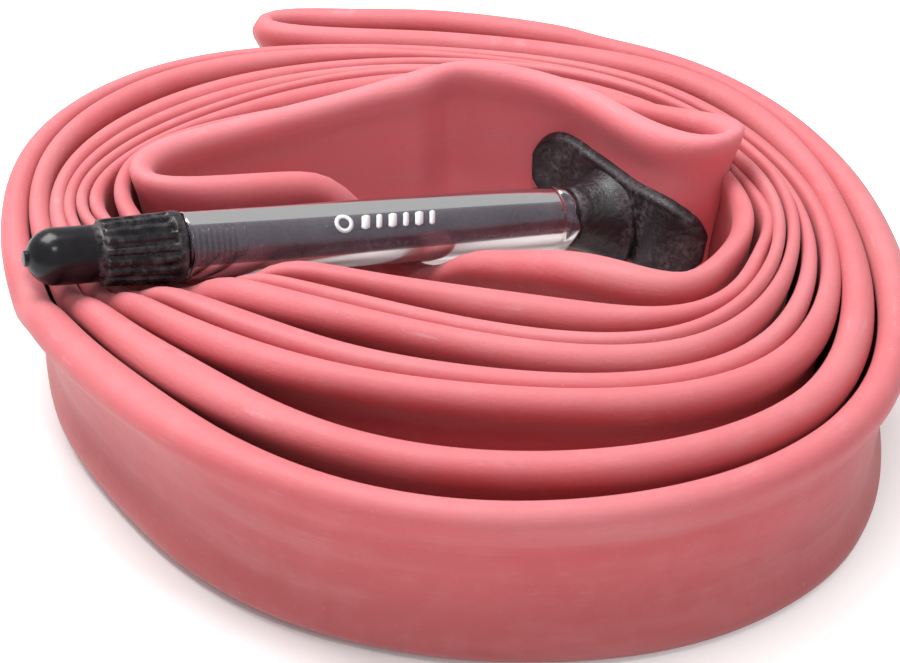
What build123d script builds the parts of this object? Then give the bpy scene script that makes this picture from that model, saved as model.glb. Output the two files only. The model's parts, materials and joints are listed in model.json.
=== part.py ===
from build123d import *
import math
import os

# A road-bicycle inner tube, as it is packed: the closed loop of latex tube is pressed flat, folded
# double and rolled into an upright coil, with the valve lying across the top of the coil.
# Millimetres. Origin: middle of the coil, on the surface it stands on. +X right, +Y back, +Z up.

# ---- latex tube -------------------------------------------------------------------------------------
FLAT_WIDTH = 24.5          # height of the flattened tube as it stands on its folded edge
THICKNESS = 1.1            # two walls of latex pressed together with no air between them
SIDE_CURVES = 300          # smooth curves, joined end to end, that make up each side of the strip
POLE = (1.4, -0.1)         # the coil's winding centre: every plan point and radius below starts here
VALVE_CHANNEL = (5.1, 7.0, 115.0)      # radius, start and end of the hollow the valve presses in the coil

# The loop runs as an inner and an outer strand, side by side, that meet in a fold at each end.
# Radius of each strand, one row per turn, every 45 degrees from +X towards +Y.
STATION_ANGLE = 45.0
OUTER_STRAND_TURNS = (
    (42.9, 40.0, 40.2, 44.2, 51.0, 30.0, 29.5, 43.2),
    (46.4, 43.3, 44.2, 51.5, 54.6, 41.5, 41.5, 52.0),
    (49.9, 46.5, 47.8, 60.5, 60.4, 55.2, 62.0, 64.5),
    (57.4, 56.4, 59.8),
)
INNER_STRAND_TURNS = (
    (41.0, 38.3, 38.5, 42.4, 49.2, 26.5, 26.3, 40.8),
    (44.7, 41.8, 42.4, 47.5, 52.8, 38.2, 38.0, 48.3),
    (48.2, 44.9, 46.0, 57.5, 57.4, 48.3, 53.4, 59.4),
    (53.2, 53.0, 53.4),
)
# Outer end of the coil, where the loop folds back on itself.
OUTER_FOLD = ((-16.0, 61.6), (-29.0, 62.3), (-31.4, 60.2), (-29.4, 58.0), (-16.0, 55.2))
# Innermost stretch of the inner strand, which carries the valve, from the inner fold round to the right.
VALVE_STRETCH = (
    (36.8, 8.8), (35.4, 6.5), (32.9, 6.5), (30.4, 8.9), (24.9, 18.4), (18.4, 27.2), (12.0, 31.4),
    (3.0, 33.0), (-8.0, 30.0), (-23.0, 24.9), (-36.0, 18.2), (-42.6, 11.4), (-43.2, 5.6), (-39.0, 3.2),
    (-31.0, 3.8), (-21.0, 5.0), (-11.5, 5.2), (-4.5, 1.8), (2.6, -4.6), (8.6, -10.6), (14.6, -15.6),
    (21.0, -18.9), (30.0, -20.0), (36.2, -13.4),
)
# The outer strand beside it.
OUTER_START = (
    (36.1, 11.2), (33.9, 13.3), (28.8, 18.6), (22.6, 27.2), (13.6, 33.4), (3.0, 35.2), (-9.0, 32.4),
    (-24.0, 27.2), (-38.0, 20.1), (-44.6, 12.6), (-45.8, 3.4), (-41.0, -6.4), (-30.0, -12.6),
    (-15.0, -17.2), (0.0, -21.2), (14.0, -24.4), (27.0, -25.6), (36.0, -20.0), (41.2, -9.0),
)

# ---- valve, along its own axis from the tube wall outwards --------------------------------------------
VALVE_FOOT = (26.1, 17.6, 12.4)        # where the valve's axis leaves the tube wall
VALVE_DIRECTION = (-0.890, -0.419, 0.177)
CLEARANCE = 0.06                       # between pieces that turn or slide on each other

# Rubber patch: two round lobes joined by a waist, and a cone moulded round the stem.
PAD_STRETCH = (0.9790, 0.9985)         # the part of the loop, as fractions of its length, beside the pad
PAD_LOBE_RADIUS = 6.5
PAD_LOBE_OFFSET = 11.7
PAD_WAIST = 11.6
PAD_RISE = 1.6                         # the pad's middle sits this much higher than the valve's foot
PAD_THICKNESS = 1.4
PAD_GAP = 0.05                         # line of glue between the pad and the latex
PAD_REACH = 8.0                        # far enough either way from the valve's foot to clear the curved pad
PAD_STEPS = 48
BOSS_STRETCH = (0.9830, 0.9945)        # the part of the loop behind the boss
BOSS_SINK = 3.0                        # how far behind the wall the boss is trimmed away
BOSS_FOOT_RADIUS = 5.8
BOSS_TOP_RADIUS = 4.2
BOSS_TOP = 8.6

# Valve stem: a plain tube with a flanged foot that the rubber grips and a short thread at its free end.
STEM_RADIUS = 3.0
STEM_BORE = 1.9
STEM_START = 1.4
STEM_END = 73.5
STEM_GRIP_RADIUS = 3.4                 # the thicker lower part that the rubber is moulded round
STEM_GRIP_END = 8.9
FLANGE_RADIUS = 4.4
FLANGE_THICKNESS = 0.7
RELIEF_START = 58.9                    # short plain neck where the thread runs out
RELIEF_END = 60.2
RELIEF_RADIUS = 2.7
THREAD_START = 60.6
THREAD_PITCH = 0.794                   # 32 threads to the inch
THREAD_DEPTH = 0.3
THREAD_FLARE = 0.6                     # half width of a thread groove at the surface, in pitches
THREAD_COUNT = 16
CONE_START = 66.8                      # here the bore starts to open out for the valve core
SOCKET_START = 67.2
SOCKET_RADIUS = 2.3

# Valve core: body with two wrench flats, its seal, and the pin with its plunger and plunger seal.
CORE_TAIL = 61.9
CORE_TAIL_RADIUS = 1.5
CORE_RADIUS = SOCKET_RADIUS - CLEARANCE
CORE_END = 76.3
CORE_HEAD_START = 73.6
CORE_HEAD_RADIUS = 2.6
CORE_FLAT_WIDTH = 4.2
CORE_BORE = 1.0
CORE_SEAL_START = 64.9
CORE_SEAL_END = 66.5
PIN_RADIUS = 0.75
PIN_START = 59.5
PIN_END = 82.3
PIN_HEAD_RADIUS = 1.05                 # the peened end that keeps the nut on
PIN_HEAD_HEIGHT = 0.5
PLUNGER_RADIUS = 1.45
PLUNGER_HEIGHT = 1.0
PLUNGER_SEAL_HEIGHT = 1.0

# Lock nut: knurled, turns on the pin.
NUT_START = 76.4
NUT_HEIGHT = 3.0
NUT_RADIUS = 2.1
NUT_RIDGES = 14
NUT_GROOVE_WIDTH = 0.4
NUT_GROOVE_DEPTH = 0.2

# Clear plastic sleeve round the stem.
SLEEVE_START = 9.0
SLEEVE_END = 67.3
SLEEVE_RADIUS = 4.6
SLEEVE_WALL = 0.3

# Dust cap: ribbed skirt and plain round-ended dome.
CAP_START = 67.5
CAP_RIB_START = 68.8
CAP_SHOULDER = 78.0
CAP_TIP = 87.4
CAP_RIM_RADIUS = 4.85                  # the skirt narrows from its open rim to the shoulder
CAP_SHOULDER_RADIUS = 4.35
CAP_RIBS = 18
CAP_GROOVE_DEPTH = 0.45
CAP_GROOVE_WIDTH = 0.75
CAP_DOME_RADIUS = 3.7
CAP_BORE_RADIUS = STEM_RADIUS + CLEARANCE
CAP_BORE_END = 75.3
CAP_CAVITY_RADIUS = 2.8
CAP_CAVITY_END = 84.4
CAP_GATE_RADIUS = 1.1                  # small round mark left by moulding
CAP_GATE_HEIGHT = 0.3


def polar_point(radius, degrees):
    angle = math.radians(degrees)
    return (radius * math.cos(angle), radius * math.sin(angle))


def strand_points(turns):
    """Plan points of one strand, turn after turn from the inside out."""
    stations = [radius for turn in turns for radius in turn]
    return [polar_point(radius, STATION_ANGLE * index) for index, radius in enumerate(stations)]


def smooth_loop(points):
    """A closed smooth plan curve through points, without loops where they lie close together."""
    parameters = [0.0]
    for here, after in zip(points, points[1:] + points[:1]):
        parameters.append(parameters[-1] + math.sqrt(math.dist(here, after)))
    return Edge.make_spline(points, periodic=True, parameters=parameters)


def loop_line():
    """The closed plan curve that the middle of the flattened tube follows."""
    outer = list(OUTER_START) + strand_points(OUTER_STRAND_TURNS)
    inner = list(VALVE_STRETCH) + strand_points(INNER_STRAND_TURNS)
    points = outer + list(OUTER_FOLD) + inner[::-1]
    return smooth_loop([(x + POLE[0], y + POLE[1]) for x, y in points])


def beside(line, offset, start, end, steps):
    """Places and headings along a stretch of the loop, from one fraction of it to another, at a
    distance to its left."""
    places = []
    headings = []
    for index in range(steps + 1):
        along = start + (end - start) * index / steps
        heading = line.tangent_at(along)
        places.append(line.position_at(along) + offset * Vector(0, 0, 1).cross(heading))
        headings.append(heading)
    return places, headings


def strip_side(line, offset):
    """One side of the strip in plan: a closed run of smooth curves."""
    places, headings = beside(line, offset, 0, 1, SIDE_CURVES * 2)
    curves = []
    for index in range(0, SIDE_CURVES * 2, 2):
        ends = (headings[index], headings[index + 2])
        curves.append(Edge.make_spline(places[index:index + 3], tangents=ends))
    return Wire(curves)


def level_axes(direction):
    """Unit vectors of the valve's direction in plan, and of the level line across it."""
    ahead = Vector(direction[0], direction[1], 0).normalized()
    return ahead, Vector(0, 0, 1).cross(ahead)


def along_axis(shape):
    """Bring a shape built along +Z, with the tube wall at height 0, onto the valve's axis."""
    direction = Vector(*VALVE_DIRECTION).normalized()
    level = Vector(0, 0, 1).cross(direction).normalized()
    return Plane(origin=VALVE_FOOT, x_dir=level, z_dir=direction).location * shape


def turned(*points):
    """A solid of revolution about Z, from (radius, height) points."""
    profile = make_face(Polyline(*[(radius, 0, height) for radius, height in points], close=True))
    return revolve(profile, Axis.Z)


def ring(outer_radius, inner_radius, start, end):
    return turned((inner_radius, start), (outer_radius, start), (outer_radius, end), (inner_radius, end))


def rod(radius, start, end):
    return Pos(0, 0, start) * Cylinder(radius, end - start, align=(Align.CENTER, Align.CENTER, Align.MIN))


def grooves(count, circle_radius, width, depth, start, end, taper=0):
    """Blocks that cut grooves along Z, evenly round a cylinder of the given radius, or round a cone
    whose sides lean in by taper degrees."""
    block = Pos(circle_radius, 0, (start + end) / 2) * Rot(0, -taper, 0) * Box(2 * depth, width, end - start)
    return [Rot(0, 0, 360 * index / count) * block for index in range(count)]


def inner_tube(line):
    sides = [strip_side(line, offset) for offset in (-THICKNESS / 2, THICKNESS / 2)]
    inside, outside = sorted(sides, key=lambda side: Face(side).area)
    strip = extrude(Face(outside, [inside]), FLAT_WIDTH, dir=(0, 0, 1))
    return strip - along_axis(rod(*VALVE_CHANNEL))


def layer_beside(line, stretch, near, far):
    """Upright layer that follows a stretch of the loop, between two distances to its right."""
    near_places, near_headings = beside(line, -near, *stretch, PAD_STEPS)
    far_places, far_headings = beside(line, -far, *stretch, PAD_STEPS)
    near_side = Edge.make_spline(near_places, tangents=(near_headings[0], near_headings[-1]))
    far_side = Edge.make_spline(far_places, tangents=(far_headings[0], far_headings[-1]))
    ends = [Edge.make_line(near_places[index], far_places[index]) for index in (0, -1)]
    outline = Wire([near_side, ends[1], far_side, ends[0]])
    return extrude(Face(outline), FLAT_WIDTH, dir=(0, 0, 1))


def valve_patch(line):
    lobes = [Pos(side * PAD_LOBE_OFFSET, 0) * Circle(PAD_LOBE_RADIUS) for side in (-1, 1)]
    outline = Rectangle(2 * PAD_LOBE_OFFSET, PAD_WAIST) + lobes
    ahead, across = level_axes(VALVE_DIRECTION)
    middle = Vector(*VALVE_FOOT) + Vector(0, 0, PAD_RISE)
    face_on = Plane(origin=middle, x_dir=across, z_dir=ahead).location
    dog_bone = face_on * extrude(outline, PAD_REACH, both=True)
    wall = THICKNESS / 2 + PAD_GAP
    pad = layer_beside(line, PAD_STRETCH, wall, wall + PAD_THICKNESS) & dog_bone
    boss = turned(
        (0, -PAD_THICKNESS),
        (BOSS_FOOT_RADIUS, -PAD_THICKNESS),
        (BOSS_FOOT_RADIUS, PAD_THICKNESS),
        (BOSS_TOP_RADIUS, (PAD_THICKNESS + BOSS_TOP) / 2),
        (BOSS_TOP_RADIUS, BOSS_TOP),
        (0, BOSS_TOP),
    )
    boss = along_axis(boss) - layer_beside(line, BOSS_STRETCH, -BOSS_SINK, wall)
    flange = rod(FLANGE_RADIUS, STEM_START, STEM_START + FLANGE_THICKNESS)
    passage = rod(STEM_GRIP_RADIUS, STEM_START, BOSS_TOP)
    return pad + boss - along_axis(flange) - along_axis(passage)


def valve_stem():
    body = turned(
        (STEM_BORE, STEM_START),
        (FLANGE_RADIUS, STEM_START),
        (FLANGE_RADIUS, STEM_START + FLANGE_THICKNESS),
        (STEM_GRIP_RADIUS, STEM_START + FLANGE_THICKNESS),
        (STEM_GRIP_RADIUS, STEM_GRIP_END),
        (STEM_RADIUS, STEM_GRIP_END),
        (STEM_RADIUS, RELIEF_START),
        (RELIEF_RADIUS, RELIEF_START),
        (RELIEF_RADIUS, RELIEF_END),
        (STEM_RADIUS, RELIEF_END),
        (STEM_RADIUS, STEM_END),
        (SOCKET_RADIUS, STEM_END),
        (SOCKET_RADIUS, SOCKET_START),
        (STEM_BORE, CONE_START),
    )
    crest = THREAD_PITCH * THREAD_FLARE
    for index in range(THREAD_COUNT):
        height = THREAD_START + THREAD_PITCH * index
        body -= turned(
            (STEM_RADIUS - THREAD_DEPTH, height),
            (STEM_RADIUS + THREAD_DEPTH, height - crest),
            (STEM_RADIUS + THREAD_DEPTH, height + crest),
        )
    return body


def core_body():
    body = turned(
        (CORE_BORE, CORE_TAIL),
        (CORE_TAIL_RADIUS, CORE_TAIL),
        (CORE_TAIL_RADIUS, SOCKET_START),
        (CORE_RADIUS, SOCKET_START),
        (CORE_RADIUS, CORE_HEAD_START),
        (CORE_HEAD_RADIUS, CORE_HEAD_START),
        (CORE_HEAD_RADIUS, CORE_END),
        (CORE_BORE, CORE_END),
    )
    head_height = CORE_END - CORE_HEAD_START
    for side in (-1, 1):
        flat = Box(2 * CORE_HEAD_RADIUS, CORE_HEAD_RADIUS, head_height, align=(Align.CENTER, Align.MIN, Align.MIN))
        body -= Rot(0, 0, 90 * (1 - side)) * Pos(0, CORE_FLAT_WIDTH / 2, CORE_HEAD_START) * flat
    return body


def core_seal():
    return ring(STEM_BORE - CLEARANCE, CORE_TAIL_RADIUS, CORE_SEAL_START, CORE_SEAL_END)


def valve_pin():
    head = rod(PIN_HEAD_RADIUS, PIN_END - PIN_HEAD_HEIGHT, PIN_END)
    return rod(PIN_RADIUS, PIN_START, PIN_END) + head


def plunger():
    start = CORE_TAIL - PLUNGER_SEAL_HEIGHT - PLUNGER_HEIGHT
    return ring(PLUNGER_RADIUS, PIN_RADIUS, start, start + PLUNGER_HEIGHT)


def plunger_seal():
    return ring(PLUNGER_RADIUS, PIN_RADIUS, CORE_TAIL - PLUNGER_SEAL_HEIGHT, CORE_TAIL)


def lock_nut():
    nut = ring(NUT_RADIUS, PIN_RADIUS + CLEARANCE, NUT_START, NUT_START + NUT_HEIGHT)
    end = NUT_START + NUT_HEIGHT
    return nut - grooves(NUT_RIDGES, NUT_RADIUS, NUT_GROOVE_WIDTH, NUT_GROOVE_DEPTH, NUT_START, end)


def stem_sleeve():
    return ring(SLEEVE_RADIUS, SLEEVE_RADIUS - SLEEVE_WALL, SLEEVE_START, SLEEVE_END)


def dust_cap():
    dome_middle = CAP_TIP - CAP_DOME_RADIUS
    skirt = turned(
        (0, CAP_START),
        (CAP_RIM_RADIUS, CAP_START),
        (CAP_SHOULDER_RADIUS, CAP_SHOULDER),
        (0, CAP_SHOULDER),
    )
    taper = math.degrees(math.atan2(CAP_RIM_RADIUS - CAP_SHOULDER_RADIUS, CAP_SHOULDER - CAP_START))
    middle_radius = (CAP_RIM_RADIUS + CAP_SHOULDER_RADIUS) / 2
    skirt -= grooves(CAP_RIBS, middle_radius, CAP_GROOVE_WIDTH, CAP_GROOVE_DEPTH, CAP_RIB_START,
                     CAP_SHOULDER + CAP_GROOVE_DEPTH, taper)
    dome = rod(CAP_DOME_RADIUS, CAP_SHOULDER, dome_middle) + Pos(0, 0, dome_middle) * Sphere(CAP_DOME_RADIUS)
    gate = rod(CAP_GATE_RADIUS, CAP_TIP - 1, CAP_TIP + CAP_GATE_HEIGHT)
    cavity = rod(CAP_BORE_RADIUS, CAP_START, CAP_BORE_END) + rod(CAP_CAVITY_RADIUS, CAP_START, CAP_CAVITY_END)
    return skirt + dome + gate - cavity


def write_part(name, shape):
    export_step(shape, os.path.join("parts", name + ".step"))


if __name__ == "__main__":
    os.makedirs("parts", exist_ok=True)
    tube_line = loop_line()
    write_part("inner_tube", inner_tube(tube_line))
    write_part("valve_patch", valve_patch(tube_line))
    for piece in (valve_stem, core_body, core_seal, valve_pin, plunger, plunger_seal, lock_nut,
                  stem_sleeve, dust_cap):
        write_part(piece.__name__, along_axis(piece()))
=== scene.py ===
import json
import math
import bpy
import numpy as np
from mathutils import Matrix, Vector


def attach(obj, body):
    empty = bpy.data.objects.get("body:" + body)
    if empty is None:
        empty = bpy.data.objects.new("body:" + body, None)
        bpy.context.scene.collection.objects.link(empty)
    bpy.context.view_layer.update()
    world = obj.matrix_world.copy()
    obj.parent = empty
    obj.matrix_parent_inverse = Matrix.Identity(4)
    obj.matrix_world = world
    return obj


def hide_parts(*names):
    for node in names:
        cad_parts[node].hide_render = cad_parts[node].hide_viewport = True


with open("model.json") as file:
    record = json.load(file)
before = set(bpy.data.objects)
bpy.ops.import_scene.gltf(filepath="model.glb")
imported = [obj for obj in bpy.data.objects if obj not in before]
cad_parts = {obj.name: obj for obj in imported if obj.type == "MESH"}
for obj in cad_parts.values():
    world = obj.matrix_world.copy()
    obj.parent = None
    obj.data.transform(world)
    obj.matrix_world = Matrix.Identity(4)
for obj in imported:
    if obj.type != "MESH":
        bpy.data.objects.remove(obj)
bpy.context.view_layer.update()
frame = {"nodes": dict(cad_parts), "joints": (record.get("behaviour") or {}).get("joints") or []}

# A latex bicycle inner tube, flattened, folded double and rolled up, with its valve on top.
# Metres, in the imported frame. Lengths written in millimetres are multiplied by MM.
MM = 0.001


# ---- places that come from the frame -----------------------------------------------------------------

def joint_axis(name):
    """A point on a joint's axis and the axis's unit direction."""
    joint = next(joint for joint in frame["joints"] if joint["name"] == name)
    return Vector(joint["pos_m"]), Vector(joint["axis"]).normalized()


def cad_points(node):
    """A node's points as rows, in metres."""
    mesh = frame["nodes"][node].data
    flat = np.zeros(len(mesh.vertices) * 3, np.float32)
    mesh.vertices.foreach_get("co", flat)
    return flat.reshape(-1, 3).astype(float)


# The valve's axis runs from its foot to its cap, with one level and one nearly upright side direction.
AXIS_POINT, AXIS = joint_axis("core_turn")
LEVEL = Vector((0, 0, 1)).cross(AXIS).normalized()
UPRIGHT = AXIS.cross(LEVEL)


def span_along_axis(node):
    """Where a node starts and ends along the valve's axis, from the axis point, in millimetres."""
    along = (cad_points(node) - np.array(AXIS_POINT)) @ np.array(AXIS) / MM
    return along.min(), along.max()


STEM_FOOT, _ = span_along_axis("valve_stem")
SLEEVE_START, SLEEVE_END = span_along_axis("stem_sleeve")
CAP_START, CAP_TIP = span_along_axis("dust_cap")


def on_axis(along, radius=0.0, turn=0.0):
    """A point beside the valve's axis. Along and radius are in millimetres; turn 0 is the upper side."""
    ray = UPRIGHT * math.cos(turn) + LEVEL * math.sin(turn)
    return AXIS_POINT + AXIS * along * MM + ray * radius * MM


# ---- small helpers -----------------------------------------------------------------------------------

def smooth_step(value, low, high):
    """0 below low, 1 above high, and an even S between them."""
    share = np.clip((value - low) / (high - low), 0.0, 1.0)
    return share * share * (3 - 2 * share)


def keyed(value, keys):
    """Amounts at the given places, on straight runs between (place, amount) keys."""
    places = [place for place, _ in keys]
    amounts = [amount for _, amount in keys]
    return np.interp(value, places, amounts)


def blurred(values, width):
    """Values round a closed loop, softened by a bell of the given width in stations."""
    reach = int(3 * width)
    offsets = np.arange(-reach, reach + 1)
    weights = np.exp(-0.5 * (offsets / width) ** 2)
    weights /= weights.sum()
    total = np.zeros_like(values)
    for offset, weight in zip(offsets, weights):
        total += weight * np.roll(values, offset, axis=0)
    return total


def new_mesh(name, points, faces, material):
    """A smooth-shaded object in the scene, with one material."""
    mesh = bpy.data.meshes.new(name)
    mesh.from_pydata([tuple(point) for point in points], [], faces)
    mesh.materials.append(material)
    mesh.validate()
    mesh.polygons.foreach_set("use_smooth", [True] * len(mesh.polygons))
    piece = bpy.data.objects.new(name, mesh)
    bpy.context.scene.collection.objects.link(piece)
    return piece


def grid_faces(rows, columns, closed_rows=False, closed_columns=True):
    """Quads of a grid of points stored row after row."""
    faces = []
    for row in range(rows if closed_rows else rows - 1):
        after = (row + 1) % rows
        for column in range(columns if closed_columns else columns - 1):
            beyond = (column + 1) % columns
            faces.append((row * columns + column, row * columns + beyond,
                          after * columns + beyond, after * columns + column))
    return faces


def point_attribute(piece, name, values):
    """A number at each point of a piece, for its material to read."""
    layer = piece.data.attributes.new(name, "FLOAT", "POINT")
    layer.data.foreach_set("value", np.asarray(values, np.float32))


# ---- latex tube: its loop in plan, from the CAD strip ------------------------------------------------

STATION_STEP = 1.8             # millimetres along the loop between sections
STRIP_HALF_THICKNESS = 0.55    # of the CAD strip
CENTRE_SOFTENING = 0.8         # stations
FLOOR_LEVEL = 1e-6             # metres; faces of the underside lie below this


def floor_outlines(node):
    """The closed outlines of a node's underside, as ordered plan points in millimetres."""
    points = cad_points(node)
    places = [tuple(np.round(point[:2] / MM, 3)) for point in points]
    edges = set()
    for polygon in frame["nodes"][node].data.polygons:
        corners = list(polygon.vertices)
        if max(points[corner][2] for corner in corners) > FLOOR_LEVEL:
            continue
        for here, after in zip(corners, corners[1:] + corners[:1]):
            edge = (places[here], places[after])
            if edge[::-1] in edges:
                edges.remove(edge[::-1])
            elif edge[0] != edge[1]:
                edges.add(edge)
    following = dict(sorted(edges))
    outlines = []
    while following:
        start, here = following.popitem()
        outline = [start]
        while here != start:
            outline.append(here)
            here = following.pop(here)
        outlines.append(np.array(outline))
    return outlines


def loop_area(points):
    """Area inside a closed run of points, positive where it runs anticlockwise."""
    after = np.roll(points, -1, axis=0)
    return 0.5 * np.sum(points[:, 0] * after[:, 1] - points[:, 1] * after[:, 0])


def evenly(points, step):
    """A closed run of points set out again at even steps."""
    closed = np.vstack([points, points[:1]])
    along = np.concatenate([[0.0], np.cumsum(np.linalg.norm(np.diff(closed, axis=0), axis=1))])
    count = int(round(along[-1] / step))
    wanted = np.arange(count) * along[-1] / count
    return np.stack([np.interp(wanted, along, closed[:, axis]) for axis in (0, 1)], axis=1)


def headings(points):
    """Unit directions along a closed run of points."""
    ahead = np.roll(points, -1, axis=0) - np.roll(points, 1, axis=0)
    return ahead / np.linalg.norm(ahead, axis=1, keepdims=True)


def to_the_left(directions):
    return np.stack([-directions[:, 1], directions[:, 0]], axis=1)


def loop_centre():
    """The middle of the flattened tube in plan, starting behind the valve's foot and setting off
    with the valve on the left."""
    outline = max(floor_outlines("inner_tube"), key=lambda points: abs(loop_area(points)))
    outline = evenly(outline, STATION_STEP)
    inward = math.copysign(STRIP_HALF_THICKNESS, loop_area(outline))
    centre = outline + inward * to_the_left(headings(outline))
    centre = blurred(evenly(centre, STATION_STEP), CENTRE_SOFTENING)
    foot = np.array(on_axis(STEM_FOOT))[:2] / MM
    start = np.argmin(np.linalg.norm(centre - foot, axis=1))
    if headings(centre)[start] @ np.array(LEVEL)[:2] > 0:
        centre = centre[::-1]
        start = len(centre) - 1 - start
    return np.roll(centre, -start, axis=0)


# The soft strand just behind the valve gives way to it by this much.
GIVE_ARC = 114.0
GIVE_SPREAD = 10.0
GIVE = 2.8

CENTRE = loop_centre()
COUNT = len(CENTRE)
# Distance along the loop from the valve's foot, either way round.
ARC = np.arange(COUNT) * STATION_STEP
ARC = np.where(ARC > ARC[-1] / 2, ARC - ARC[-1] - STATION_STEP, ARC)
CENTRE += to_the_left(headings(CENTRE)) * (GIVE * np.exp(-((ARC - GIVE_ARC) / GIVE_SPREAD) ** 2))[:, None]
HEADING = headings(CENTRE)
LEFT = to_the_left(HEADING)
BEARING = np.degrees(np.arctan2(CENTRE[:, 1], CENTRE[:, 0])) % 360
REACH = np.linalg.norm(CENTRE, axis=1)


# ---- latex tube: the shape of the strip at each section ----------------------------------------------

LIFT_ABOVE = 25.1              # an upper rim that is higher than this lifts its lower edge off the floor
# Largest half width of the rounded rims, by bearing: on the near left the strands lie apart and swell.
BEAD_LIMIT_KEYS = ((0, 2.3), (182, 2.3), (200, 3.1), (240, 3.1), (262, 2.3), (360, 2.3))
BEAD_LEAST = 0.66
BEAD_GAP = 0.06                # left free beside each rim
WEB = 0.60                     # half thickness between the rims
# Nothing stands beside the rim in front of the valve, so it swells.
SWOLLEN_ARC = 152.0
SWOLLEN_SPREAD = 16.0
SWOLLEN_BY = 0.9
# A neighbour is a section of another strand that lies level with this one and off to its side.
LEVEL_WITHIN = 2.0
ASIDE_AT_LEAST = 0.3
OTHER_STRAND = 5.0             # further than this along the loop
NO_NEIGHBOUR = 9.0             # free space where nothing lies alongside


def free_space():
    """Half the distance to the next strand on the left and on the right of each section."""
    spaces = []
    for side in (1, -1):
        space = np.full(COUNT, NO_NEIGHBOUR)
        for index in range(COUNT):
            offset = CENTRE - CENTRE[index]
            ahead = offset @ HEADING[index]
            across = side * (offset @ LEFT[index])
            apart = np.abs((np.arange(COUNT) - index + COUNT // 2) % COUNT - COUNT // 2) * STATION_STEP
            beside = (np.abs(ahead) < LEVEL_WITHIN) & (across > ASIDE_AT_LEAST) & (apart > OTHER_STRAND)
            if beside.any():
                space[index] = across[beside].min() / 2
        spaces.append(space)
    return spaces


def bead_half_widths():
    """Half the width of the rounded rims on the left and on the right of each section."""
    widths = []
    limit = keyed(BEARING, BEAD_LIMIT_KEYS)
    for space in free_space():
        width = np.clip(space - BEAD_GAP, BEAD_LEAST, limit)
        least = np.min([np.roll(width, shift) for shift in range(-3, 4)], axis=0)
        widths.append(blurred(least, 2.5))
    return widths


LEFT_BEAD, RIGHT_BEAD = bead_half_widths()
LEFT_BEAD += SWOLLEN_BY * np.exp(-((ARC - SWOLLEN_ARC) / SWOLLEN_SPREAD) ** 2)

# Height of the upper rim by distance from the valve's foot: the stretch that carries the valve stands
# higher than the rest, with a fold crease behind the stem.
TOP_KEYS = ((-60, 24.8), (-50, 25.2), (-42, 28.0), (-33, 29.8), (-25, 31.2), (-18, 32.4), (-12, 30.7),
            (-5, 29.4), (5, 28.9), (14, 28.2), (21, 28.6), (28, 29.8), (33, 30.2), (40, 28.3), (48, 27.2),
            (60, 26.2), (68, 25.9), (76, 26.4), (84, 27.0), (92, 27.0), (104, 26.4), (113, 25.0), (120, 23.0),
            (128, 19.0), (135, 18.0), (141, 21.4), (147, 24.2), (153, 25.8), (160, 26.4), (170, 25.8),
            (185, 24.8), (200, 24.8))
# Slow waves of the upper rim and of the strip's middle: amount, length along the loop, and phase.
RIM_WAVES = ((0.35, 31.0, 0.0), (0.25, 17.0, 1.0))
PLAN_WAVES = ((0.25, 23.0, 0.0), (0.2, 41.0, 2.0))

VALVE_REACH = 5.1          # the widest part of the valve, with a little room
STRAND_HALF = 1.2          # how far a strand's rim reaches sideways towards the valve
ROOM_BELOW = 0.25
HUG_ARC = 103.0            # the stretch just behind the valve stands close beside it before it dives
HUG_SPREAD = 17.0
CLOSE_SLOPE = 4.0          # how fast the close limit rises beyond the valve's side
GENTLE_CURVE = 2.4         # flatness of the gentle limit, which curves up to both sides of the valve
BEFORE_SLEEVE = 1.0        # the limit holds from here to beyond the cap
BEYOND_CAP = 5.0
NO_LIMIT = 99.0


def valve_limit():
    """How high a strand's rim may stand where it passes under or beside the valve."""
    plan = np.array(AXIS)[:2]
    level = np.linalg.norm(plan)
    from_axis = CENTRE - np.array(AXIS_POINT)[:2] / MM
    along = from_axis @ plan / level ** 2
    across = from_axis @ np.array(LEVEL)[:2]
    axis_height = AXIS_POINT.z / MM + along * AXIS.z - ROOM_BELOW
    beside = np.maximum(np.abs(across) - STRAND_HALF, 0.0)
    dip = np.sqrt(np.maximum(VALVE_REACH ** 2 - beside ** 2, 0.0))
    close = axis_height - dip + CLOSE_SLOPE * np.maximum(beside - VALVE_REACH, 0.0)
    gentle = axis_height - VALVE_REACH + across ** 2 / (GENTLE_CURVE * VALVE_REACH)
    hug = np.exp(-((ARC - HUG_ARC) / HUG_SPREAD) ** 4)
    limit = gentle + hug * np.maximum(close - gentle, 0.0)
    under = (along > SLEEVE_START - BEFORE_SLEEVE) & (along < CAP_TIP + BEYOND_CAP)
    return np.where(under, limit, NO_LIMIT)


def waves(rows):
    """The sum of a few slow waves along the loop."""
    return sum(amount * np.sin(ARC / length + phase) for amount, length, phase in rows)


def strip_heights():
    """Heights of the upper rim and of the lower edge."""
    top = blurred(keyed(ARC, TOP_KEYS), 3) + waves(RIM_WAVES)
    bottom = blurred(np.maximum(top - LIFT_ABOVE, 0.0), 4)
    limit = valve_limit()
    return np.minimum(blurred(np.minimum(top, limit), 1.5), limit), bottom


# How the coil differs from a straight-sided one, by bearing and in millimetres at a radius of 60:
# the outer turns swell and pinch, and everywhere the lower edges stand further in than the rims.
REFERENCE_REACH = 60.0
SWELL_KEYS = ((0, -0.8), (20, -0.6), (38, 1.2), (52, 3.0), (70, 1.9), (88, 0.6), (112, -0.9), (128, -0.6),
              (143, 0.5), (155, 1.1), (168, 0.0), (180, -2.0), (195, -2.1), (212, -1.0), (240, 0.0),
              (270, 0.2), (300, 0.6), (320, 0.2), (340, -0.6), (360, -0.8))
TUCK_KEYS = ((0, 2.0), (60, 0.8), (120, 0.8), (160, 2.2), (185, 3.8), (215, 3.6), (235, 2.2), (250, 1.8),
             (265, 2.9), (280, 2.6), (295, 1.2), (315, 0.4), (335, 1.2), (350, 2.0), (360, 2.0))
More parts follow.
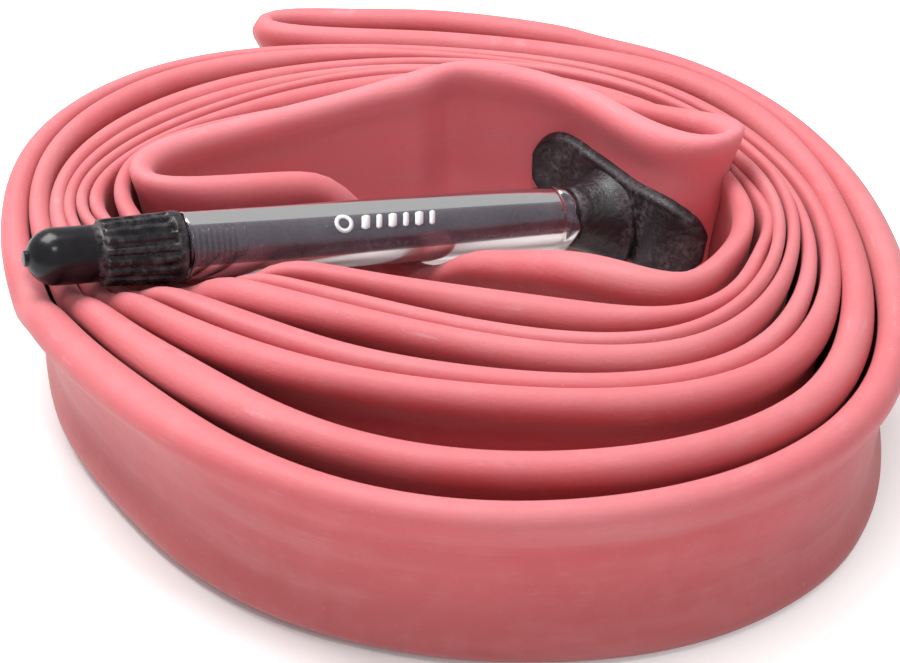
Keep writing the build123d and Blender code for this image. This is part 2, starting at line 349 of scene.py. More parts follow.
# The fold beside the patch leans out over its neighbours: sideways shift of its rim and its foot.
FOLD_ARC = -22.0
FOLD_SPREAD = 13.0
FOLD_RIM_SHIFT = (3.8, 1.0)
FOLD_FOOT_SHIFT = (1.0, 0.0)
# In front of the valve the rim leans in towards it.
LIP_ARC = 150.0
LIP_SPREAD = 17.0
LIP_SHIFT = 3.2
# A crease runs down the wall from the highest point of the stretch that carries the valve.
CREASE_ARC = 31.0
CREASE_SPREAD = 3.2
CREASE_DEPTH = 2.6
# Beside the crease the wall bulges back the other way, by a share of its depth.
BULGE_ARC = CREASE_ARC + 7.0
BULGE_SPREAD = 4.0
BULGE_SHARE = 0.7

TOP, BOTTOM = strip_heights()
OUTWARD = CENTRE / REACH[:, None]
SWELL = blurred(keyed(BEARING, SWELL_KEYS), 3) * (REACH / REFERENCE_REACH) ** 3
TUCK = blurred(keyed(BEARING, TUCK_KEYS), 3) * (REACH / REFERENCE_REACH)
FOLD = np.exp(-((ARC - FOLD_ARC) / FOLD_SPREAD) ** 2)
BULGE = BULGE_SHARE * np.exp(-((ARC - BULGE_ARC) / BULGE_SPREAD) ** 2)
CREASE = CREASE_DEPTH * (np.exp(-((ARC - CREASE_ARC) / CREASE_SPREAD) ** 2) - BULGE)
LIP = LIP_SHIFT * np.exp(-((ARC - LIP_ARC) / LIP_SPREAD) ** 2)
WAVES = waves(PLAN_WAVES)


def plan_at(share):
    """Plan places of the strip's middle at a share of its height, 0 at the lower edge and 1 at the rim."""
    share = np.clip(share, 0, 1)
    place = CENTRE + OUTWARD * (SWELL - TUCK * (1 - share))[:, None]
    crease = CREASE * (1 - share) ** 0.5 * smooth_step(share, 0.0, 0.4)
    place = place + LEFT * (WAVES * (2 * share - 1) - crease + LIP * share ** 2)[:, None]
    for axis in (0, 1):
        shift = FOLD_FOOT_SHIFT[axis] + (FOLD_RIM_SHIFT[axis] - FOLD_FOOT_SHIFT[axis]) * share ** 2
        place[:, axis] += FOLD * shift
    return place


# A section, from its upper edge down: a rounded rim, a taper into the web, the flat web, and the same
# again upside down.
RIM_TURNS = np.radians((0, 24, 47, 69, 90))
RIM_DEPTH_RATIO = 1.12
RIM_DEPTH_MOST = 2.3
TAPER_SHARES = (0.2, 0.42, 0.7, 1.0)
TAPER_LENGTH = 5.0
WEB_SHARES = (0.17, 0.33, 0.5, 0.67, 0.83)


def half_section(bead):
    """One side of every section, as (distance down from the upper edge, half width) pairs of arrays."""
    rise = TOP - BOTTOM
    depth = np.minimum(RIM_DEPTH_RATIO * bead, RIM_DEPTH_MOST)
    upper = [(depth * (1 - math.cos(turn)), bead * math.sin(turn)) for turn in RIM_TURNS]
    for share in TAPER_SHARES:
        ease = smooth_step(share, 0.0, 1.0)
        upper.append((depth + share * TAPER_LENGTH, bead + (WEB - bead) * ease))
    end = upper[-1][0]
    middle = [(end + share * (rise - 2 * end), np.full(COUNT, WEB)) for share in WEB_SHARES]
    lower = [(rise - down, width) for down, width in reversed(upper)]
    return upper + middle + lower


def tube_points():
    """The strip's surface as a grid: sections along the loop, points round each section."""
    ring = half_section(LEFT_BEAD)
    ring += [(down, -width) for down, width in half_section(RIGHT_BEAD)[-2:0:-1]]
    grid = np.zeros((COUNT, len(ring), 3))
    rims = np.zeros((COUNT, len(ring)))
    for column, (down, across) in enumerate(ring):
        height = TOP - down
        share = (height - BOTTOM) / (TOP - BOTTOM)
        grid[:, column, 0:2] = plan_at(share) + LEFT * across[:, None]
        grid[:, column, 2] = height
        rims[:, column] = np.abs(share - 0.5) * 2
    return grid, rims


# Painted light, partly talc: the stretch that carries the valve is made paler than the rest, as if its wall
# caught more light from above, and for its paler talc patches; by this share and with these soft ends.
PALER = 0.8
PALER_FROM = (-34.0, -16.0)
PALER_TO = (70.0, 112.0)


def latex_tube(material):
    """The whole flattened tube as one closed skin."""
    grid, rims = tube_points()
    rows, columns, _ = grid.shape
    faces = grid_faces(rows, columns, closed_rows=True)
    piece = new_mesh("latex_tube", grid.reshape(-1, 3) * MM, faces, material)
    point_attribute(piece, "rim", rims.ravel())
    point_attribute(piece, "arc", np.repeat(ARC, columns))
    point_attribute(piece, "height", grid[:, :, 2].ravel())
    # Painted light, partly talc: how much paler each section near the valve is made.
    beside_valve = smooth_step(ARC, *PALER_FROM) * (1 - smooth_step(ARC, *PALER_TO))
    point_attribute(piece, "painted_light_and_talc", np.repeat(PALER * beside_valve, columns))
    return piece


def wall_point(arc, height, out):
    """A point near the valve's side of the tube wall: millimetres along the loop from the valve's foot,
    above the floor, and out from the wall."""
    station = arc / STATION_STEP
    before = int(math.floor(station))
    blend = station - before
    place = np.zeros(2)
    for index, weight in ((before % COUNT, 1 - blend), ((before + 1) % COUNT, blend)):
        share = (height - BOTTOM[index]) / (TOP[index] - BOTTOM[index])
        place += weight * (plan_at(np.full(COUNT, share))[index] + LEFT[index] * (WEB + out))
    return np.array([place[0], place[1], height]) * MM


# ---- closed sheets and turned solids -----------------------------------------------------------------

ROUND_STEPS = 72               # sections round the valve's axis


def closed_sheet(name, front, back, material):
    """A thin closed piece from two grids of points of the same size."""
    rows, columns = len(front), len(front[0])
    points = [point for row in front for point in row] + [point for row in back for point in row]
    offset = rows * columns
    faces = grid_faces(rows, columns, closed_columns=False)
    faces += [tuple(offset + corner for corner in reversed(face)) for face in faces]
    rim = list(range(columns))
    rim += [row * columns + columns - 1 for row in range(1, rows)]
    rim += [(rows - 1) * columns + column for column in range(columns - 2, -1, -1)]
    rim += [row * columns for row in range(rows - 2, 0, -1)]
    for here, after in zip(rim, rim[1:] + rim[:1]):
        faces.append((after, here, offset + here, offset + after))
    return new_mesh(name, points, faces, material)


def turned_piece(name, profile, turns, material, shape, closed=True):
    """A solid turned about the valve's axis, from (along, radius) pairs, which the shape function may
    change with the turn angle. A closed profile comes back to its first point; an open one starts and
    ends close to the axis."""
    points = []
    for along, radius in profile:
        for step in range(turns):
            turn = 2 * math.pi * step / turns
            points.append(on_axis(*shape(along, radius, turn), turn))
    faces = grid_faces(len(profile), turns, closed_rows=closed)
    if not closed:
        faces.append(tuple(range(turns))[::-1])
        last = (len(profile) - 1) * turns
        faces.append(tuple(range(last, last + turns)))
    return new_mesh(name, points, faces, material)


# ---- valve patch -------------------------------------------------------------------------------------

# The pad is two round lobes joined by a slightly narrower waist, bonded to the wall.
PAD_LOBE_RADIUS = 6.5
PAD_LOBE_OFFSET = 11.0
PAD_REACH = PAD_LOBE_OFFSET + PAD_LOBE_RADIUS
PAD_SHIFT = 0.7            # the pad sits this much further towards the highest part of the wall
PAD_WAIST_DEPTH = 0.48     # how far the upper edge comes in at the waist
PAD_WAIST_LENGTH = 7.0     # over this length from a lobe's middle
PAD_THICKNESS = 1.35
PAD_EDGE_ROUNDING = 0.28
PAD_LIP = 0.22             # raised line just inside the edge
PAD_LIP_INSET = 0.8
PAD_LIP_WIDTH = 0.4
PAD_RIPPLE = 0.08
PAD_LIFT = 0.05            # keeps the face clear of the wall at the edge
PAD_LEAST_HALF_WIDTH = 0.02
PAD_HEIGHT = on_axis(STEM_FOOT).z / MM + 1.6
PAD_COLUMNS = 44
PAD_ROWS = 22


def pad_half_width(along, side):
    """Half the pad's height at a distance along the wall from its middle; side is +1 above, -1 below.
    Only the upper edge has a waist."""
    beyond = abs(along) - PAD_LOBE_OFFSET
    if beyond > 0:
        return max(math.sqrt(max(PAD_LOBE_RADIUS ** 2 - beyond ** 2, 0.0)), PAD_LEAST_HALF_WIDTH)
    waist = PAD_WAIST_DEPTH if side > 0 else 0.0
    return PAD_LOBE_RADIUS - waist * smooth_step(-beyond, 0.0, PAD_WAIST_LENGTH)


def pad_front(edge, along, across):
    """How far the pad's face stands out, by distance from the nearest edge and place on the pad."""
    out = PAD_THICKNESS * (1 - math.exp(-edge / PAD_EDGE_ROUNDING))
    out += PAD_LIP * math.exp(-((edge - PAD_LIP_INSET) / PAD_LIP_WIDTH) ** 2)
    out += PAD_RIPPLE * math.sin(along * 0.9 + across * 0.5) * smooth_step(edge, 0.5, 2.5)
    return out + PAD_LIFT


def pad_surface(front):
    """The pad's front face or its back on the wall, as rows of points."""
    rows = []
    for column in range(PAD_COLUMNS + 1):
        along = -PAD_REACH * math.cos(math.pi * column / PAD_COLUMNS)
        row = []
        for step in range(PAD_ROWS + 1):
            side = -math.cos(math.pi * step / PAD_ROWS)
            half = pad_half_width(along, side)
            across = half * side
            edge = min(half - abs(across), PAD_REACH - abs(along))
            out = pad_front(edge, along, across) if front else 0.0
            row.append(wall_point(along + PAD_SHIFT, PAD_HEIGHT + across, out))
        rows.append(row)
    return rows


def patch_pad(material):
    """The pad as one closed piece."""
    return closed_sheet("patch_pad", pad_surface(front=True), pad_surface(front=False), material)


# The boss is a flared neck round the stem, by distance above its foot and below its top. Two ridges,
# at these turns and of these shares of the full height, run down it into the pad's lobes.
BOSS_BORE = 3.03
BOSS_TOP = SLEEVE_START - 0.25
BOSS_FLARE = ((0.2, 7.4), (0.9, 7.2), (1.5, 6.5), (2.2, 5.9), (3.4, 5.4), (5.0, 4.9))
BOSS_NECK = ((1.2, 4.6), (0.3, 4.5), (0.0, 4.25), (0.0, BOSS_BORE))
BOSS_RIDGES = ((5.35, 1.0), (2.2, 0.8))
BOSS_RIDGE_HEIGHT = 0.9
BOSS_RIDGE_SPREAD = 0.5


def boss_ridges(along, radius, turn):
    """Ridges on the boss's outside, which fade towards its top."""
    if radius < BOSS_BORE + 0.5:
        return along, radius
    share = smooth_step(BOSS_TOP - along, 0.0, BOSS_TOP - STEM_FOOT - 1.5)
    for place, amount in BOSS_RIDGES:
        radius += BOSS_RIDGE_HEIGHT * share * amount * math.exp(-((turn - place) / BOSS_RIDGE_SPREAD) ** 2)
    return along, radius


def patch_boss(material):
    """The turned boss, from its foot at the bore, up its outside and back to the bore."""
    profile = [(STEM_FOOT + 0.2, BOSS_BORE)]
    profile += [(STEM_FOOT + above, radius) for above, radius in BOSS_FLARE]
    profile += [(BOSS_TOP - below, radius) for below, radius in BOSS_NECK]
    return turned_piece("patch_boss", profile, ROUND_STEPS, material, boss_ridges)


# ---- clear sleeve ------------------------------------------------------------------------------------

SLEEVE_RADIUS = 4.6
SLEEVE_WALL = 0.22


def sleeve_shape(along, radius, turn):
    """Wavy cut at the cap's end, and a crumpled, slightly flared lip with a fine groove at the patch's."""
    from_cap = SLEEVE_END - along
    from_patch = along - SLEEVE_START
    at_cap = 1 - smooth_step(from_cap, 0.0, 2.5)
    at_patch = 1 - smooth_step(from_patch, 0.0, 3.2)
    cut = 0.16 * math.sin(3 * turn + 0.6) + 0.1 * math.sin(8 * turn) - 0.26
    crumple = 0.45 * math.sin(2 * turn + 2.2) + 0.2 * math.sin(7 * turn + 1.0)
    along += at_cap * cut + at_patch * (0.65 + crumple)
    radius += at_patch * (0.12 + 0.14 * math.sin(5 * turn + 0.4) + 0.07 * math.sin(11 * turn))
    radius += 0.05 * math.sin(2 * turn + along * 0.09) - 0.16 * math.exp(-((from_patch - 2.0) / 0.25) ** 2)
    return along, radius


def clear_sleeve(material):
    """A thin open tube, with more sections near its ends where its shape changes."""
    length = SLEEVE_END - SLEEVE_START
    shares = [0, 0.006, 0.012, 0.02, 0.028, 0.035, 0.042, 0.05]
    shares += [0.08 + 0.03 * step for step in range(30)]
    shares += [0.975, 0.985, 0.993, 1.0]
    outside = [(SLEEVE_START + length * share, SLEEVE_RADIUS) for share in shares]
    inside = [(along, radius - SLEEVE_WALL) for along, radius in reversed(outside)]
    return turned_piece("sleeve_clear", outside + inside, ROUND_STEPS, material, sleeve_shape)


# ---- printed mark: plain ring and bars ---------------------------------------------------------------

MARK_TURN = math.radians(41)   # towards the near side from straight up
MARK_HALF_HEIGHT = math.radians(13)
MARK_LIFT = 0.03               # the print's face above the sleeve, and its back inside it
MARK_BURY = -0.02
RING_PLACE = SLEEVE_START + 36.7
FIRST_BAR = SLEEVE_START + 33.5
BAR_COUNT = 6
BAR_SPACING = 2.0
BAR_WIDTHS = (1.25, 0.85)
BAR_SLANT = 0.25
BAR_STRAIGHT = 0.72            # share of its half height that has straight sides
BAR_STEPS = 12
RING_OUTER = 1.35
RING_INNER = 0.75
RING_STEPS = 40


def sleeve_point(along, turn, lift):
    """A point on the sleeve's wavy outside, or lifted off it."""
    along, radius = sleeve_shape(along, SLEEVE_RADIUS, turn)
    return on_axis(along, radius + lift, turn)


def mark_bar(name, middle, width, material):
    """A slanted bar with round ends, wrapped on the sleeve."""
    sheets = []
    for lift in (MARK_LIFT, MARK_BURY):
        rows = []
        for step in range(BAR_STEPS + 1):
            up = -1 + step / (BAR_STEPS / 2)
            rounding = max(abs(up) - BAR_STRAIGHT, 0.0) / (1 - BAR_STRAIGHT)
            squeeze = math.sqrt(max(1 - rounding ** 2, 0.02))
            turn = MARK_TURN - up * MARK_HALF_HEIGHT
            places = [middle - BAR_SLANT * up + width / 2 * side * squeeze for side in (-1, 0, 1)]
            rows.append([sleeve_point(place, turn, lift) for place in places])
        sheets.append(rows)
    return closed_sheet(name, sheets[0], sheets[1], material)


def mark_ring(name, middle, material):
    """A flat ring wrapped on the sleeve."""
    corners = ((RING_OUTER, MARK_LIFT), (RING_INNER, MARK_LIFT),
               (RING_INNER, MARK_BURY), (RING_OUTER, MARK_BURY))
    points = []
    for radius, lift in corners:
        for step in range(RING_STEPS):
            angle = 2 * math.pi * step / RING_STEPS
            turn = MARK_TURN - radius * math.sin(angle) / SLEEVE_RADIUS
            points.append(sleeve_point(middle + radius * math.cos(angle), turn, lift))
    return new_mesh(name, points, grid_faces(len(corners), RING_STEPS, closed_rows=True), material)


def printed_mark(material):
    """A ring and a row of bars, wide and narrow in turn."""
    pieces = [mark_ring("mark_ring", RING_PLACE, material)]
    for index in range(BAR_COUNT):
        middle = FIRST_BAR - BAR_SPACING * index
        pieces.append(mark_bar("mark_bar_%d" % index, middle, BAR_WIDTHS[index % 2], material))
    return pieces


# ---- dust cap ----------------------------------------------------------------------------------------

CAP_RIM_RADIUS = 4.85
CAP_SHOULDER_RADIUS = 4.35
CAP_DOME_RADIUS = 3.7
CAP_RIBS = 18
CAP_RIB_DEPTH = 0.42
CAP_SHOULDER = CAP_TIP - 9.7
CAP_RIB_START = CAP_START + 1.25
CAP_BORE_RADIUS = 3.06         # round the stem's thread
CAP_BORE_END = CAP_START + 7.8
CAP_HOLLOW_RADIUS = 2.8        # round the valve core
CAP_ROOF = 3.0                 # from the end of the hollow to the end of the dome
CAP_STEPS = CAP_RIBS * 12
GATE_HEIGHT = 0.3              # stub left in the middle of the dome
GATE_RADIUS = 1.0
NEAR_AXIS = 0.05


def cap_profile():
    """Half the cap's section: up the bore, round the rim, along the ribs, over the shoulder and dome."""
    dome_end = CAP_TIP - GATE_HEIGHT
    dome_middle = dome_end - CAP_DOME_RADIUS
    profile = [(dome_end - CAP_ROOF, NEAR_AXIS), (dome_end - CAP_ROOF, CAP_HOLLOW_RADIUS),
               (CAP_BORE_END, CAP_HOLLOW_RADIUS), (CAP_BORE_END, CAP_BORE_RADIUS),
               (CAP_START + 0.15, CAP_BORE_RADIUS), (CAP_START, CAP_BORE_RADIUS + 0.14),
               (CAP_START, CAP_RIM_RADIUS - 0.25), (CAP_START + 0.08, CAP_RIM_RADIUS - 0.08),
               (CAP_START + 0.25, CAP_RIM_RADIUS), (CAP_RIB_START - 0.2, CAP_RIM_RADIUS - 0.02),
               (CAP_RIB_START - 0.08, CAP_RIM_RADIUS - 0.05)]
    for share in (0.0, 0.03, 0.1, 0.3, 0.5, 0.7, 0.9, 0.97, 1.0):
        along = CAP_RIB_START + 0.04 + share * (CAP_SHOULDER - CAP_RIB_START - 0.2)
        profile.append((along, CAP_RIM_RADIUS - 0.07 - share * (CAP_RIM_RADIUS - CAP_SHOULDER_RADIUS - 0.07)))
    profile += [(CAP_SHOULDER - 0.08, CAP_SHOULDER_RADIUS - 0.08), (CAP_SHOULDER, CAP_SHOULDER_RADIUS - 0.2),
                (CAP_SHOULDER, CAP_DOME_RADIUS + 0.12), (CAP_SHOULDER + 0.12, CAP_DOME_RADIUS + 0.02),
                (CAP_SHOULDER + 0.5, CAP_DOME_RADIUS)]
    for step in range(1, 4):
        profile.append((CAP_SHOULDER + 0.5 + step / 3 * (dome_middle - CAP_SHOULDER - 0.5), CAP_DOME_RADIUS))
    for degrees in (12, 24, 36, 48, 58, 66, 72):
        angle = math.radians(degrees)
        profile.append((dome_middle + CAP_DOME_RADIUS * math.sin(angle), CAP_DOME_RADIUS * math.cos(angle)))
    profile += [(dome_end - 0.12, GATE_RADIUS + 0.02), (CAP_TIP - 0.05, GATE_RADIUS),
                (CAP_TIP, GATE_RADIUS - 0.1), (CAP_TIP, NEAR_AXIS)]
    return profile


def ribbed(along, radius, turn):
    """Grooves between the ribs, open at the shoulder."""
    if radius < CAP_DOME_RADIUS + 0.2 or not CAP_RIB_START < along <= CAP_SHOULDER:
        return along, radius
    groove = smooth_step(-math.cos(CAP_RIBS * turn), -0.15, 0.45)
    depth = CAP_RIB_DEPTH * smooth_step(along, CAP_RIB_START, CAP_RIB_START + 0.35)
    return along, max(radius - depth * groove, CAP_DOME_RADIUS + 0.05)


def dust_cap(material):
    """The cap, with each point's distance beyond the shoulder for its material."""
    profile = cap_profile()
    piece = turned_piece("cap_shell", profile, CAP_STEPS, material, ribbed, closed=False)
    along = np.repeat([place for place, _ in profile], CAP_STEPS)
    point_attribute(piece, "along", along - CAP_SHOULDER)
    return piece


# ---- materials ---------------------------------------------------------------------------------------

class Nodes:
    """Short names for building a material's node tree. Inputs are named by their sockets' labels, with
    underscores for spaces, and take a value or another node's output."""

    def __init__(self, name):
        self.material = bpy.data.materials.new(name)
        self.material.use_nodes = True
        self.tree = self.material.node_tree
        self.shader = self.tree.nodes["Principled BSDF"]
        self.output = self.tree.nodes["Material Output"]

    def add(self, kind, **inputs):
        node = self.tree.nodes.new(kind)
        for key, value in inputs.items():
            self.feed(node, key, value)
        return node

    def feed(self, node, key, value):
        socket = node.inputs[key.replace("_", " ")] if isinstance(key, str) else node.inputs[key]
        if isinstance(value, bpy.types.NodeSocket):
            self.tree.links.new(value, socket)
        else:
            socket.default_value = value

    def principled(self, **inputs):
        for key, value in inputs.items():
            self.feed(self.shader, key, value)

    def attribute(self, name):
        node = self.tree.nodes.new("ShaderNodeAttribute")
        node.attribute_name = name
        return node.outputs["Fac"]

    def place(self):
        return self.tree.nodes.new("ShaderNodeTexCoord").outputs["Object"]

    def noise(self, vector, scale, detail=4.0, roughness=0.55):
        node = self.add("ShaderNodeTexNoise", Vector=vector, Scale=scale, Detail=detail, Roughness=roughness)
        return node.outputs["Fac"]

    def sum(self, first, *others):
        for other in others:
            first = self.math("ADD", first, other)
        return first

    def product(self, first, *others):
        for other in others:
            first = self.math("MULTIPLY", first, other)
        return first

    def blend_shaders(self, share, first, second):
        """A shader that goes from the first to the second as the share goes from 0 to 1."""
        node = self.tree.nodes.new("ShaderNodeMixShader")
        self.feed(node, 0, share)
        self.tree.links.new(first, node.inputs[1])
        self.tree.links.new(second, node.inputs[2])
        return node.outputs[0]

    def math(self, operation, first, second=0.0):
        node = self.tree.nodes.new("ShaderNodeMath")
        node.operation = operation
        self.feed(node, 0, first)
        self.feed(node, 1, second)
        return node.outputs[0]

    def ramp(self, value, low, high, start=0.0, end=1.0):
        """Value mapped from low..high to start..end, clamped."""
        node = self.add("ShaderNodeMapRange", Value=value)
        node.inputs["From Min"].default_value = low
        node.inputs["From Max"].default_value = high
        node.inputs["To Min"].default_value = start
        node.inputs["To Max"].default_value = end
        return node.outputs["Result"]

    def mix(self, share, first, second):
        node = self.tree.nodes.new("ShaderNodeMix")
        node.data_type = "RGBA"
        self.feed(node, 0, share)
        self.feed(node, 6, first)
        self.feed(node, 7, second)
        return node.outputs[2]

    def along_and_up(self, along_scale, up_scale):
        """Coordinates that run with the strip: distance along it and height on it."""
        along = self.math("MULTIPLY", self.attribute("arc"), along_scale)
        up = self.math("MULTIPLY", self.attribute("height"), up_scale)
        node = self.tree.nodes.new("ShaderNodeCombineXYZ")
        self.feed(node, 0, along)
        self.feed(node, 1, up)
        return node.outputs[0]

    def bump(self, height, distance, strength):
        node = self.add("ShaderNodeBump", Height=height, Distance=distance, Strength=strength)
        return node.outputs["Normal"]


def latex_material():
    """Pink latex: redder where it is clean, paler where talc has been wiped along it; painted shade makes it
    browner and darker low down, and painted light, partly talc, pales its rims and the stretch that carries
    the valve.
    """
    nodes = Nodes("latex")
    place = nodes.place()
    cloud = nodes.noise(place, 38, 3)
    mottle = nodes.noise(place, 260, 4)
    wipe = nodes.noise(nodes.along_and_up(0.022, 0.16), 1.0, 4, 0.5)
    scratch = nodes.noise(nodes.along_and_up(0.07, 1.6), 1.0, 4, 0.6)
    fine = nodes.noise(place, 2200, 3)

    body = nodes.mix(nodes.ramp(cloud, 0.35, 0.7), (0.550, 0.062, 0.076, 1), (0.610, 0.090, 0.106, 1))
    # Painted shade: every strand is made darker and browner low down, where it stands in its neighbours'
    # shade.
    low = nodes.ramp(nodes.attribute("height"), 2.0, 20.0, 0.62, 0.0)
    body = nodes.mix(low, body, (0.330, 0.086, 0.084, 1))
    # Painted light, partly talc: the stretch that carries the valve is made paler.
    body = nodes.mix(nodes.attribute("painted_light_and_talc"), body, (0.760, 0.155, 0.185, 1))
    body = nodes.mix(nodes.ramp(wipe, 0.48, 0.70, 0.0, 0.5), body, (0.560, 0.180, 0.185, 1))
    body = nodes.mix(nodes.ramp(mottle, 0.45, 0.8, 0.0, 0.22), body, (0.580, 0.190, 0.200, 1))

    # Talc and painted light: an even pale bloom on the rims stands for both talc and the light on the rims
    # that face up; thin smears and specks elsewhere are talc.
    rim = nodes.ramp(nodes.attribute("rim"), 0.78, 1.0)
    smear = nodes.product(nodes.ramp(scratch, 0.58, 0.74), nodes.ramp(mottle, 0.5, 0.66),
                          nodes.ramp(rim, 0.0, 1.0, 0.20, 0.34))
    # Painted light, partly talc: every rim is made evenly paler.
    rim_talc_and_light = nodes.ramp(rim, 0.0, 1.0, 0.0, 0.20)
    specks = nodes.ramp(nodes.noise(place, 1500, 2, 0.5), 0.72, 0.78, 0.0, 0.22)
    # This talc mask also carries the painted light on the rims.
    talc = nodes.sum(smear, rim_talc_and_light, specks)
    colour = nodes.mix(talc, body, (0.740, 0.430, 0.470, 1))

    relief = nodes.sum(nodes.product(fine, 0.35), nodes.product(scratch, 0.3), nodes.product(mottle, 0.6))
    nodes.principled(
        Base_Color=colour,
        Roughness=nodes.ramp(talc, 0.0, 0.6, 0.52, 0.85),
        Normal=nodes.bump(relief, 0.00020, 0.6),
        Subsurface_Weight=0.10,
        Subsurface_Scale=0.002,
        Subsurface_Radius=(1.0, 0.25, 0.2),
        Sheen_Weight=0.12,
        Sheen_Roughness=0.5,
    )
    return nodes.material


def rubber_material():
    """Black rubber dulled by talc in blotches."""
    nodes = Nodes("patch_rubber")
    place = nodes.place()
    blotch = nodes.noise(place, 190, 5, 0.65)
    specks = nodes.noise(place, 1500, 3, 0.7)
    dust = nodes.product(nodes.ramp(blotch, 0.46, 0.66), nodes.ramp(specks, 0.40, 0.68))
    colour = nodes.mix(dust, (0.010, 0.008, 0.011, 1), (0.17, 0.13, 0.15, 1))
    relief = nodes.sum(nodes.product(blotch, 0.6), nodes.product(specks, 0.4))
    nodes.principled(Base_Color=colour, Roughness=nodes.ramp(dust, 0.0, 0.6, 0.36, 0.85),
                     Normal=nodes.bump(relief, 0.0004, 0.8))
    return nodes.material


def cap_material():
    """Black plastic, shiny on the dome, with talc caught at the shoulder and along the ribs."""
    nodes = Nodes("cap_plastic")
    place = nodes.place()
    along = nodes.attribute("along")
    scuffs = nodes.noise(place, 700, 5, 0.7)
    patches = nodes.noise(place, 230, 3, 0.6)
    near_shoulder = nodes.ramp(nodes.math("ABSOLUTE", along), 0.1, 1.3, 0.9, 0.0)
    on_skirt = nodes.ramp(along, -1.0, 0.2, 0.26, 0.0)
    amount = nodes.sum(nodes.math("MAXIMUM", near_shoulder, on_skirt), 0.02)
    dust = nodes.product(amount, nodes.ramp(scuffs, 0.42, 0.72), nodes.ramp(patches, 0.35, 0.6, 0.25, 1.0))
    colour = nodes.mix(dust, (0.005, 0.004, 0.006, 1), (0.36, 0.31, 0.33, 1))
    nodes.principled(Base_Color=colour, Roughness=nodes.ramp(dust, 0.0, 0.5, 0.24, 0.75),
                     Specular_IOR_Level=0.32, Normal=nodes.bump(scuffs, 0.00006, 0.4))
    return nodes.material


def sleeve_material():
    """Clear thin plastic: see-through face on, milky at its edges, with scratches and specks."""
    nodes = Nodes("sleeve_clear")
    place = nodes.place()
    facing = nodes.add("ShaderNodeLayerWeight", Blend=0.5).outputs["Facing"]
    haze = nodes.ramp(nodes.noise(place, 130, 4, 0.6), 0.35, 0.75, 0.07, 0.16)
    edges = nodes.product(nodes.math("POWER", facing, 4.0), 0.5)
    specks = nodes.ramp(nodes.noise(place, 2300, 2, 0.5), 0.70, 0.76, 0.0, 0.35)
    nodes.principled(Base_Color=(0.36, 0.32, 0.39, 1), Roughness=0.25,
                     Normal=nodes.bump(nodes.noise(place, 320, 3), 0.0001, 0.3))
    clear = nodes.add("ShaderNodeBsdfTransparent", Color=(0.90, 0.88, 0.91, 1)).outputs[0]
    cloudy = nodes.blend_shaders(nodes.sum(haze, edges, specks), clear, nodes.shader.outputs[0])
    shine = nodes.add("ShaderNodeBsdfAnisotropic", Roughness=0.14).outputs[0]
    fresnel = nodes.add("ShaderNodeFresnel", IOR=1.5).outputs[0]
    glossy = nodes.blend_shaders(nodes.product(fresnel, 0.9), cloudy, shine)
    nodes.tree.links.new(glossy, nodes.output.inputs["Surface"])
    return nodes.material


def print_material():
    """White print, a little worn."""
    nodes = Nodes("white_print")
    wear = nodes.noise(nodes.place(), 1600, 3, 0.6)
    colour = nodes.mix(nodes.ramp(wear, 0.55, 0.72, 0.0, 0.6), (0.84, 0.84, 0.87, 1), (0.45, 0.43, 0.48, 1))
    nodes.principled(Base_Color=colour, Roughness=0.5)
    return nodes.material


def metal_material(name, bright, dark, roughness, scale):
    """Turned metal with fine uneven tone."""
    nodes = Nodes(name)
    place = nodes.place()
    grain = nodes.noise(place, scale, 5, 0.65)
    stain = nodes.noise(place, scale / 12, 3)
    colour = nodes.mix(nodes.ramp(stain, 0.35, 0.7), bright, dark)
    nodes.principled(Base_Color=colour, Metallic=1.0,
                     Roughness=nodes.ramp(grain, 0.3, 0.7, roughness, roughness + 0.15),
                     Normal=nodes.bump(grain, 0.00003, 0.3))
    return nodes.material


def seal_material():
    """Dark rubber with a fine grain."""
    nodes = Nodes("seal_rubber")
    grain = nodes.noise(nodes.place(), 1800, 4)
    colour = nodes.mix(nodes.ramp(grain, 0.35, 0.7), (0.02, 0.02, 0.022, 1), (0.05, 0.048, 0.05, 1))
    nodes.principled(Base_Color=colour, Roughness=0.6, Normal=nodes.bump(grain, 0.00005, 0.4))
    return nodes.material


def floor_material():
    """White board, which glows a little as on a light table, for the camera only and outside the coil
    only, so it lights nothing."""
    nodes = Nodes("floor")
    grain = nodes.noise(nodes.place(), 60, 5)
    colour = nodes.mix(nodes.ramp(grain, 0.3, 0.7), (0.86, 0.86, 0.86, 1), (0.89, 0.89, 0.89, 1))
    distance = nodes.tree.nodes.new("ShaderNodeVectorMath")
    distance.operation = "LENGTH"
    nodes.feed(distance, 0, nodes.place())
    outside = nodes.ramp(distance.outputs["Value"], 0.058, 0.080)
    seen = nodes.tree.nodes.new("ShaderNodeLightPath").outputs["Is Camera Ray"]
    glow = nodes.product(outside, seen, 0.75)
    nodes.principled(Base_Color=colour, Roughness=0.8, Normal=nodes.bump(grain, 0.0002, 0.2),
                     Emission_Color=(1, 1, 1, 1), Emission_Strength=glow)
    return nodes.material


# ---- floor, light and camera -------------------------------------------------------------------------

FLOOR_HALF_SIZE = 1.6
FLOOR_DROP = 0.00005           # keeps the board's face clear of the tube's lower edges
WORLD_LIGHT = 0.56
LENS_LENGTH = 68
SENSOR_WIDTH = 36
CAMERA_PLACE = (0.0014, -0.1986, 0.1425)
CAMERA_TARGET = (0.0014, -0.0151, 0.014)


def floor():
    sides = ((-1, -1), (1, -1), (1, 1), (-1, 1))
    corners = [(x * FLOOR_HALF_SIZE, y * FLOOR_HALF_SIZE, -FLOOR_DROP) for x, y in sides]
    new_mesh("floor", corners, [(0, 1, 2, 3)], floor_material())


def area_light(name, place, size, power):
    """A square white light that points at the middle of the coil."""
    light = bpy.data.lights.new(name, "AREA")
    light.size = size
    light.energy = power
    lamp = bpy.data.objects.new(name, light)
    lamp.location = place
    lamp.rotation_euler = (-Vector(place)).to_track_quat("-Z", "Y").to_euler()
    bpy.context.scene.collection.objects.link(lamp)


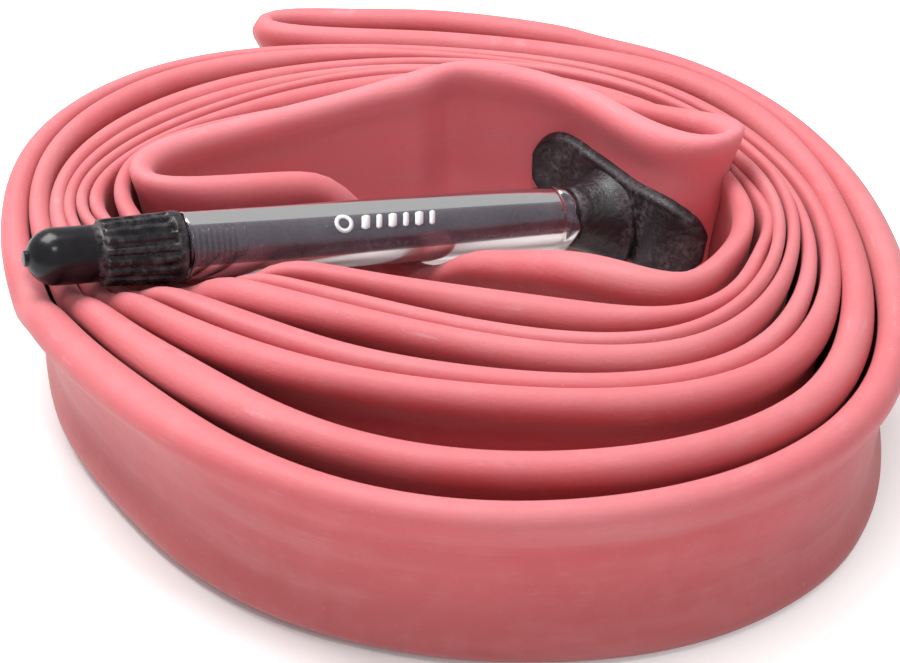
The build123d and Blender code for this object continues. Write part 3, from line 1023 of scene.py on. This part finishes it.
def lighting():
    """An even white surround, a large soft lamp behind on the left, a small one that draws the long
    highlight on the stem, and a weak one in front."""
    world = bpy.data.worlds.new("studio")
    world.use_nodes = True
    background = world.node_tree.nodes["Background"]
    background.inputs["Color"].default_value = (1, 1, 1, 1)
    background.inputs["Strength"].default_value = WORLD_LIGHT
    bpy.context.scene.world = world
    area_light("key", (-0.22, 0.20, 0.60), 0.40, 5.3)
    area_light("strip", (0.05, -0.30, 0.60), 0.05, 0.7)
    area_light("front", (0.15, -0.60, 0.35), 0.60, 0.15)


def camera():
    lens = bpy.data.cameras.new("camera")
    lens.lens = LENS_LENGTH
    lens.sensor_width = SENSOR_WIDTH
    lens.clip_start = 0.01
    viewer = bpy.data.objects.new("camera", lens)
    viewer.location = CAMERA_PLACE
    viewer.rotation_euler = (Vector(CAMERA_TARGET) - Vector(CAMERA_PLACE)).to_track_quat("-Z", "Y").to_euler()
    bpy.context.scene.collection.objects.link(viewer)
    bpy.context.scene.camera = viewer


# ---- the whole scene ---------------------------------------------------------------------------------

def place_piece(piece, body, node=None):
    """Put a piece on a body, and let it stand in for a CAD node if one is given."""
    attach(piece, body)
    if node:
        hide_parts(node)


def repaint(nodes, material):
    """Give CAD nodes that are shown as they are a material."""
    for node in nodes:
        for slot in frame["nodes"][node].material_slots:
            slot.material = material


place_piece(latex_tube(latex_material()), "tube", "inner_tube")

black_rubber = rubber_material()
place_piece(patch_pad(black_rubber), "tube", "valve_patch")
place_piece(patch_boss(black_rubber), "tube")

place_piece(clear_sleeve(sleeve_material()), "sleeve", "stem_sleeve")
for piece in printed_mark(print_material()):
    place_piece(piece, "sleeve")

place_piece(dust_cap(cap_material()), "cap", "dust_cap")

stem_alloy = metal_material("stem_alloy", (0.16, 0.15, 0.17, 1), (0.10, 0.09, 0.11, 1), 0.22, 900)
core_nickel = metal_material("core_nickel", (0.62, 0.58, 0.50, 1), (0.48, 0.43, 0.35, 1), 0.22, 1500)
repaint(["valve_stem"], stem_alloy)
repaint(["core_body", "valve_pin", "plunger", "lock_nut"], core_nickel)
repaint(["core_seal", "plunger_seal"], seal_material())

floor()
lighting()
camera()
bpy.context.scene.view_settings.view_transform = "Standard"
